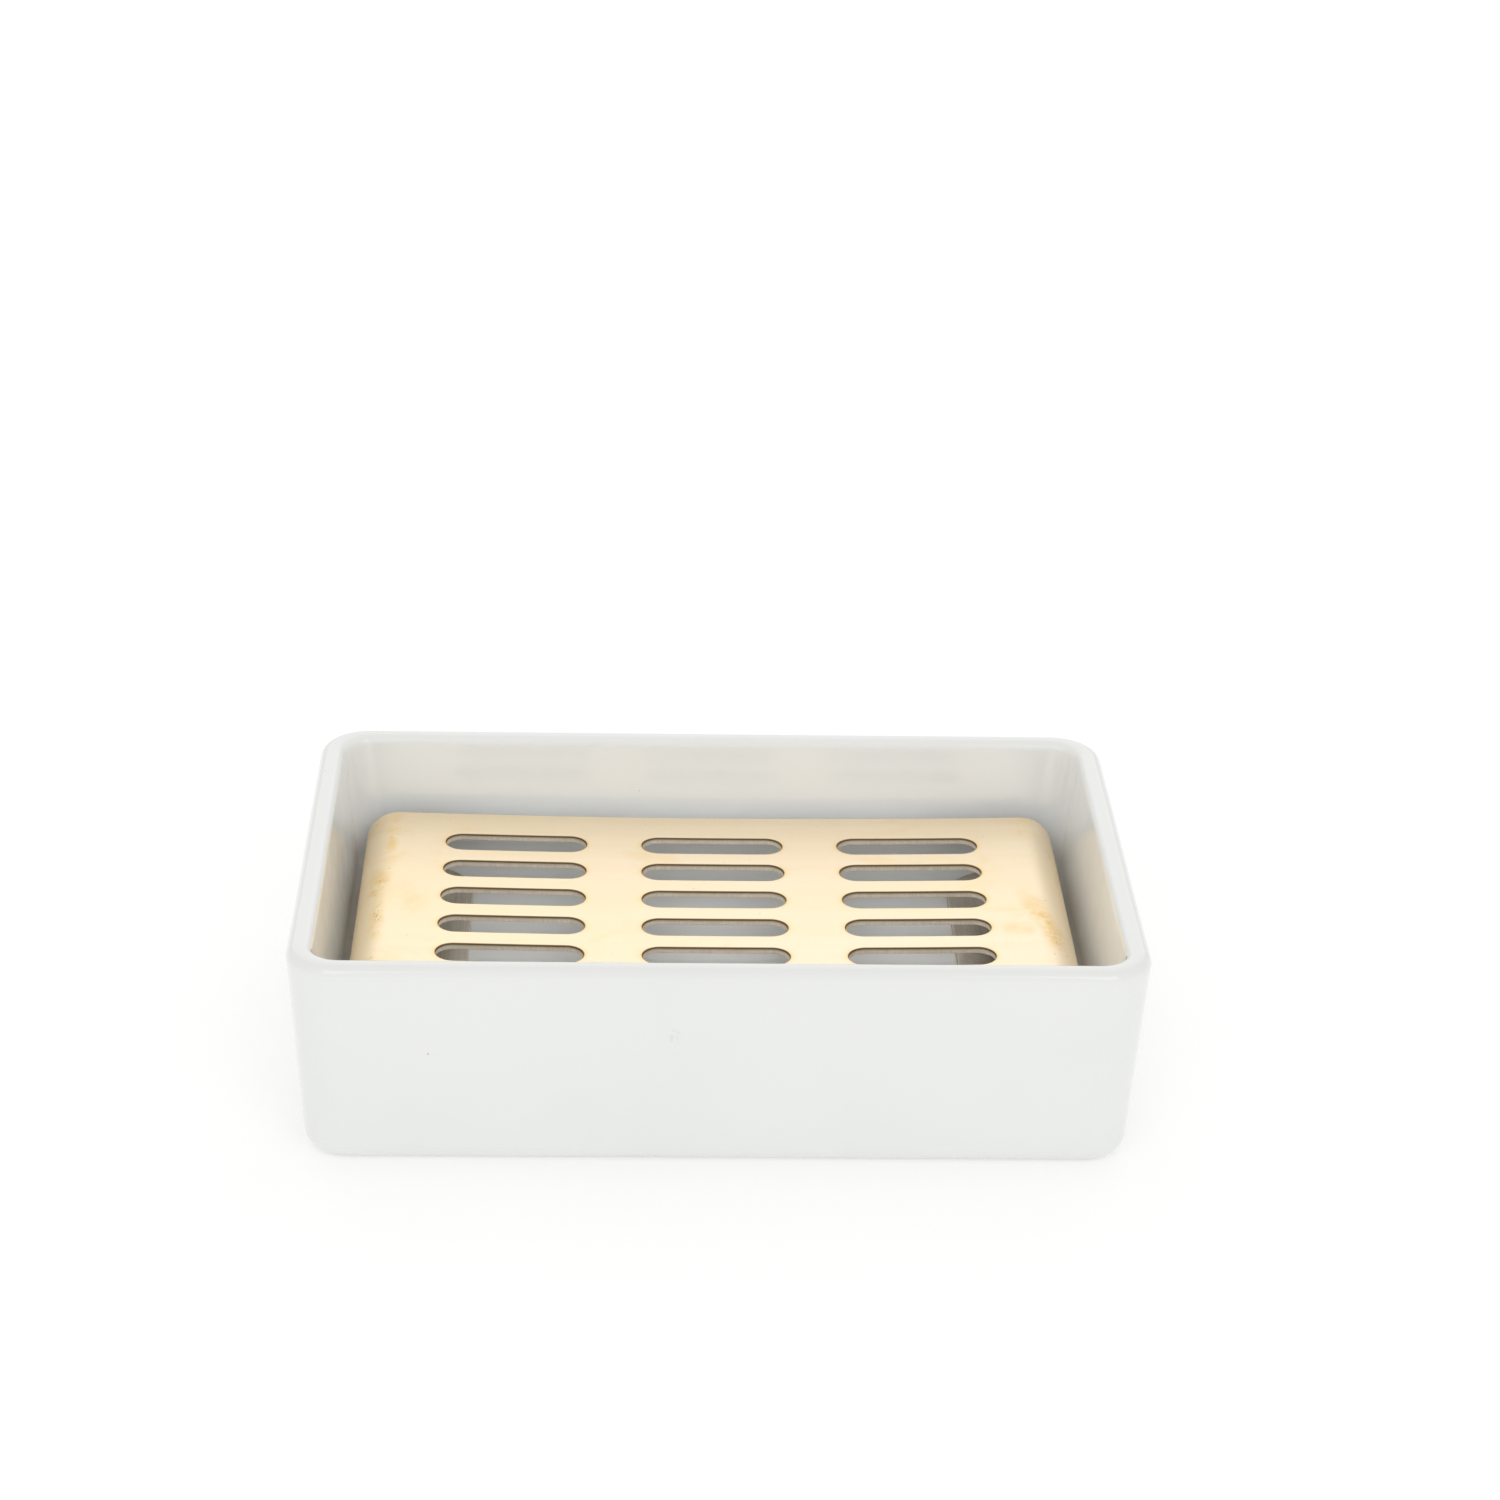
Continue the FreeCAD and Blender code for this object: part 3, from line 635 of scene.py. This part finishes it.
# columns from the left foot's free end to the right foot's
FOOT_STEPS = [0.0, 0.01, 0.03, 0.08, 0.16, 0.26, 0.38, 0.5, 0.62, 0.74, 0.86, 1.0]   # 0 is the free end
CURL_STEPS = 34
columns = [("foot", -1, f) for f in FOOT_STEPS]
for i in range(1, CURL_STEPS + 1):
    f = i / CURL_STEPS
    columns.append(("curl", -1, -math.pi / 2 + f * (math.pi + PHI)))
left_margin = span(-DECK_END, -zone_x, 4)[1:]
columns += [("deck", 0, x) for x in left_margin]
cell_start = len(columns) - 1
columns += [("deck", 0, -zone_x + PITCH_X * i / NX) for i in range(1, NX * COLUMNS + 1)]
cell_end = len(columns) - 1
columns += [("deck", 0, x) for x in span(zone_x, DECK_END, 4)[1:-1]]
for i in range(CURL_STEPS, -1, -1):
    f = i / CURL_STEPS
    columns.append(("curl", 1, -math.pi / 2 + f * (math.pi + PHI)))
columns += [("foot", 1, f) for f in reversed(FOOT_STEPS[:-1])]


def grid_point(j, i, e, d):
    kind, side, value = columns[j]
    y = row_y(i, e)
    if kind == "deck":
        return on_deck(value, y, d)
    if kind == "curl":
        return on_curl(side, value, y, d)
    x_end = foot_end(y, e)
    return on_foot(side, x_end + (A - x_end) * value, y, d)


vertices, faces, which = [], [], []
rolled, depth_values, tint = [], [], []
known = {}


def vertex(point, roll=0.0, d=0.0, t=0.0, key=None):
    if key is not None and key in known:
        return known[key]
    vertices.append(point)
    rolled.append(roll)
    depth_values.append(d)
    tint.append(t)
    if key is not None:
        known[key] = len(vertices) - 1
    return len(vertices) - 1


def face(corners, material, flip):
    corners = [c for k, c in enumerate(corners) if c != corners[k - 1]]
    if len(set(corners)) < 3:
        return
    faces.append(tuple(reversed(corners)) if flip else tuple(corners))
    which.append(material)


GOLD, CUT, BARE = 0, 1, 2
skins = {"out": (ROLL_R, 0.0, GOLD, False), "in": (BURR_R, SHEET, BARE, True)}
first_inner, last_inner = N_MARGIN, N_MARGIN + len(inner_rows) - 1


def grid_vertex(skin, j, i):
    e, d, material, flip = skins[skin]
    return vertex(grid_point(j, i, e, d), 0.0, d / SHEET, 0.0, (skin, j, i))


for skin, (e, d, material, flip) in skins.items():
    for j in range(len(columns) - 1):
        for i in range(len(rows) - 1):
            inside = cell_start <= j < cell_end and first_inner <= i < last_inner
            if inside:
                continue
            face([grid_vertex(skin, j, i), grid_vertex(skin, j + 1, i), grid_vertex(skin, j + 1, i + 1), grid_vertex(skin, j, i + 1)],
                 material, flip)

# the profile across every cut edge, from the outer skin to the inner: how far in, and how deep
profile = []
for t in span(0, 90, 7):
    a = math.radians(t)
    profile.append((ROLL_R * (1 - math.sin(a)), ROLL_R * (1 - math.cos(a)), t / 90.0))
for d in (0.5, 0.7, 0.9):
    profile.append((0.0, d, 1.0))
for t in span(0, 90, 3):
    a = math.radians(t)
    profile.append((BURR_R * (1 - math.cos(a)), SHEET - BURR_R + BURR_R * math.sin(a), 1.0))


def edge_strip(at, loop_length, flip):
    """at(k, e, d) is the k-th point of a closed outline drawn in by e at depth d, or its skin's vertex."""
    previous = None
    for step, (e, d, roll) in enumerate(profile):
        current = [at(k, e, d, roll, step) for k in range(loop_length)]
        if previous is not None:
            material = GOLD if roll < 0.999 or profile[step - 1][2] < 0.999 else CUT
            for k in range(loop_length):
                m = (k + 1) % loop_length
                face([previous[k], previous[m], current[m], current[k]], material, flip)
        previous = current


# the sheet's own outline: rear edge, right free end, front edge, left free end
outline = [(j, len(rows) - 1) for j in range(len(columns))]
outline += [(len(columns) - 1, i) for i in range(len(rows) - 2, -1, -1)]
outline += [(j, 0) for j in range(len(columns) - 2, -1, -1)]
outline += [(0, i) for i in range(1, len(rows) - 1)]


def on_outline(k, e, d, roll, step):
    j, i = outline[k]
    if step == 0:
        return grid_vertex("out", j, i)
    if step == len(profile) - 1:
        return grid_vertex("in", j, i)
    return vertex(grid_point(j, i, e, d), roll, d / SHEET)


edge_strip(on_outline, len(outline), False)

# the slots
half, w = SLOT_L / 2 - SLOT_W / 2, SLOT_W / 2


def obround(k, e):
    """k-th point of the slot's outline moved out by e, and the outline's direction there."""
    # the corners of the cell answer to the 45 degree points of the slot's ends
    side, f = (0, k / NX) if k < NX else (1, (k - NX) / NY) if k < NX + NY else \
        (2, (k - NX - NY) / NX) if k < 2 * NX + NY else (3, (k - 2 * NX - NY) / NY)
    r = w + e
    if side in (0, 2):        # rear long side from left to right, front long side from right to left
        arc = r * math.pi / 4
        total = 2 * arc + 2 * half
        s = f * total
        if s < arc:
            a = 0.75 * math.pi - s / r
            x, y, nx, ny = -half + r * math.cos(a), r * math.sin(a), math.cos(a), math.sin(a)
        elif s > total - arc:
            a = math.pi / 2 - (s - (total - arc)) / r
            x, y, nx, ny = half + r * math.cos(a), r * math.sin(a), math.cos(a), math.sin(a)
        else:
            x, y, nx, ny = -half + (s - arc), r, 0.0, 1.0
        if side == 2:
            x, y, nx, ny = -x, -y, -nx, -ny
    else:
        a = math.pi / 4 - f * math.pi / 2
        x, y, nx, ny = half + r * math.cos(a), r * math.sin(a), math.cos(a), math.sin(a)
        if side == 3:
            x, y, nx, ny = -x, -y, -nx, -ny
    return x, y, nx, ny


def cell_border(k):
    """k-th point of the cell's border as steps along X and Y from its lower left corner."""
    if k < NX:
        return k, NY
    if k < NX + NY:
        return NX, NY - (k - NX)
    if k < 2 * NX + NY:
        return NX - (k - NX - NY), 0
    return 0, k - 2 * NX - NY


AROUND = 2 * (NX + NY)
for column in range(COLUMNS):
    for row in range(ROWS):
        cx = (column - (COLUMNS - 1) / 2) * PITCH_X
        cy = (row - (ROWS - 1) / 2) * PITCH_Y
        tag = (column, row)

        def on_ring(skin, ring, k, e, d):
            x, y, nx, ny = obround(k, e)
            end = max(0.0, abs(nx) - 0.35) / 0.65
            fall = math.exp(-max(e - ROLL_R, 0.0) / 0.32)
            return vertex(on_deck(cx + x, cy + y, d), 0.0, d / SHEET, end * fall if skin == "out" else 0.0,
                          ("slot", tag, skin, ring, k))

        def on_slot(k, e, d, roll, step):
            if step == 0:
                return on_ring("out", 0, k, ROLL_R, 0.0)
            if step == len(profile) - 1:
                return on_ring("in", 0, k, BURR_R, SHEET)
            x, y, nx, ny = obround(k, e)
            end = max(0.0, abs(nx) - 0.35) / 0.65
            return vertex(on_deck(cx + x, cy + y, d), roll, d / SHEET, end * (1 - roll))

        edge_strip(on_slot, AROUND, True)
        for skin, (e0, d, material, flip) in skins.items():
            offsets = [e0, e0 + 0.12, e0 + 0.3, 0.85, 1.3]
            previous = [on_ring(skin, 0, k, e0, d) for k in range(AROUND)]
            for ring, e in enumerate(offsets[1:], start=1):
                current = [on_ring(skin, ring, k, e, d) for k in range(AROUND)]
                for k in range(AROUND):
                    m = (k + 1) % AROUND
                    face([previous[k], previous[m], current[m], current[k]], material, flip)
                previous = current
            current = []
            for k in range(AROUND):
                sx, sy = cell_border(k)
                j = cell_start + column * NX + sx
                i = first_inner + row * NY + sy
                current.append(grid_vertex(skin, j, i))
            for k in range(AROUND):
                m = (k + 1) % AROUND
                face([previous[k], previous[m], current[m], current[k]], material, flip)

tray = mesh_object("folded_tray", vertices, faces, which, [gold_material, cut_material, inner_material])
point_values(tray, "rolled", rolled)
point_values(tray, "depth", depth_values)
point_values(tray, "tint", tint)
weighted = tray.modifiers.new("even_normals", "WEIGHTED_NORMAL")
weighted.mode = "FACE_AREA"
weighted.weight = 60
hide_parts("drain_tray")
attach(tray, "root")
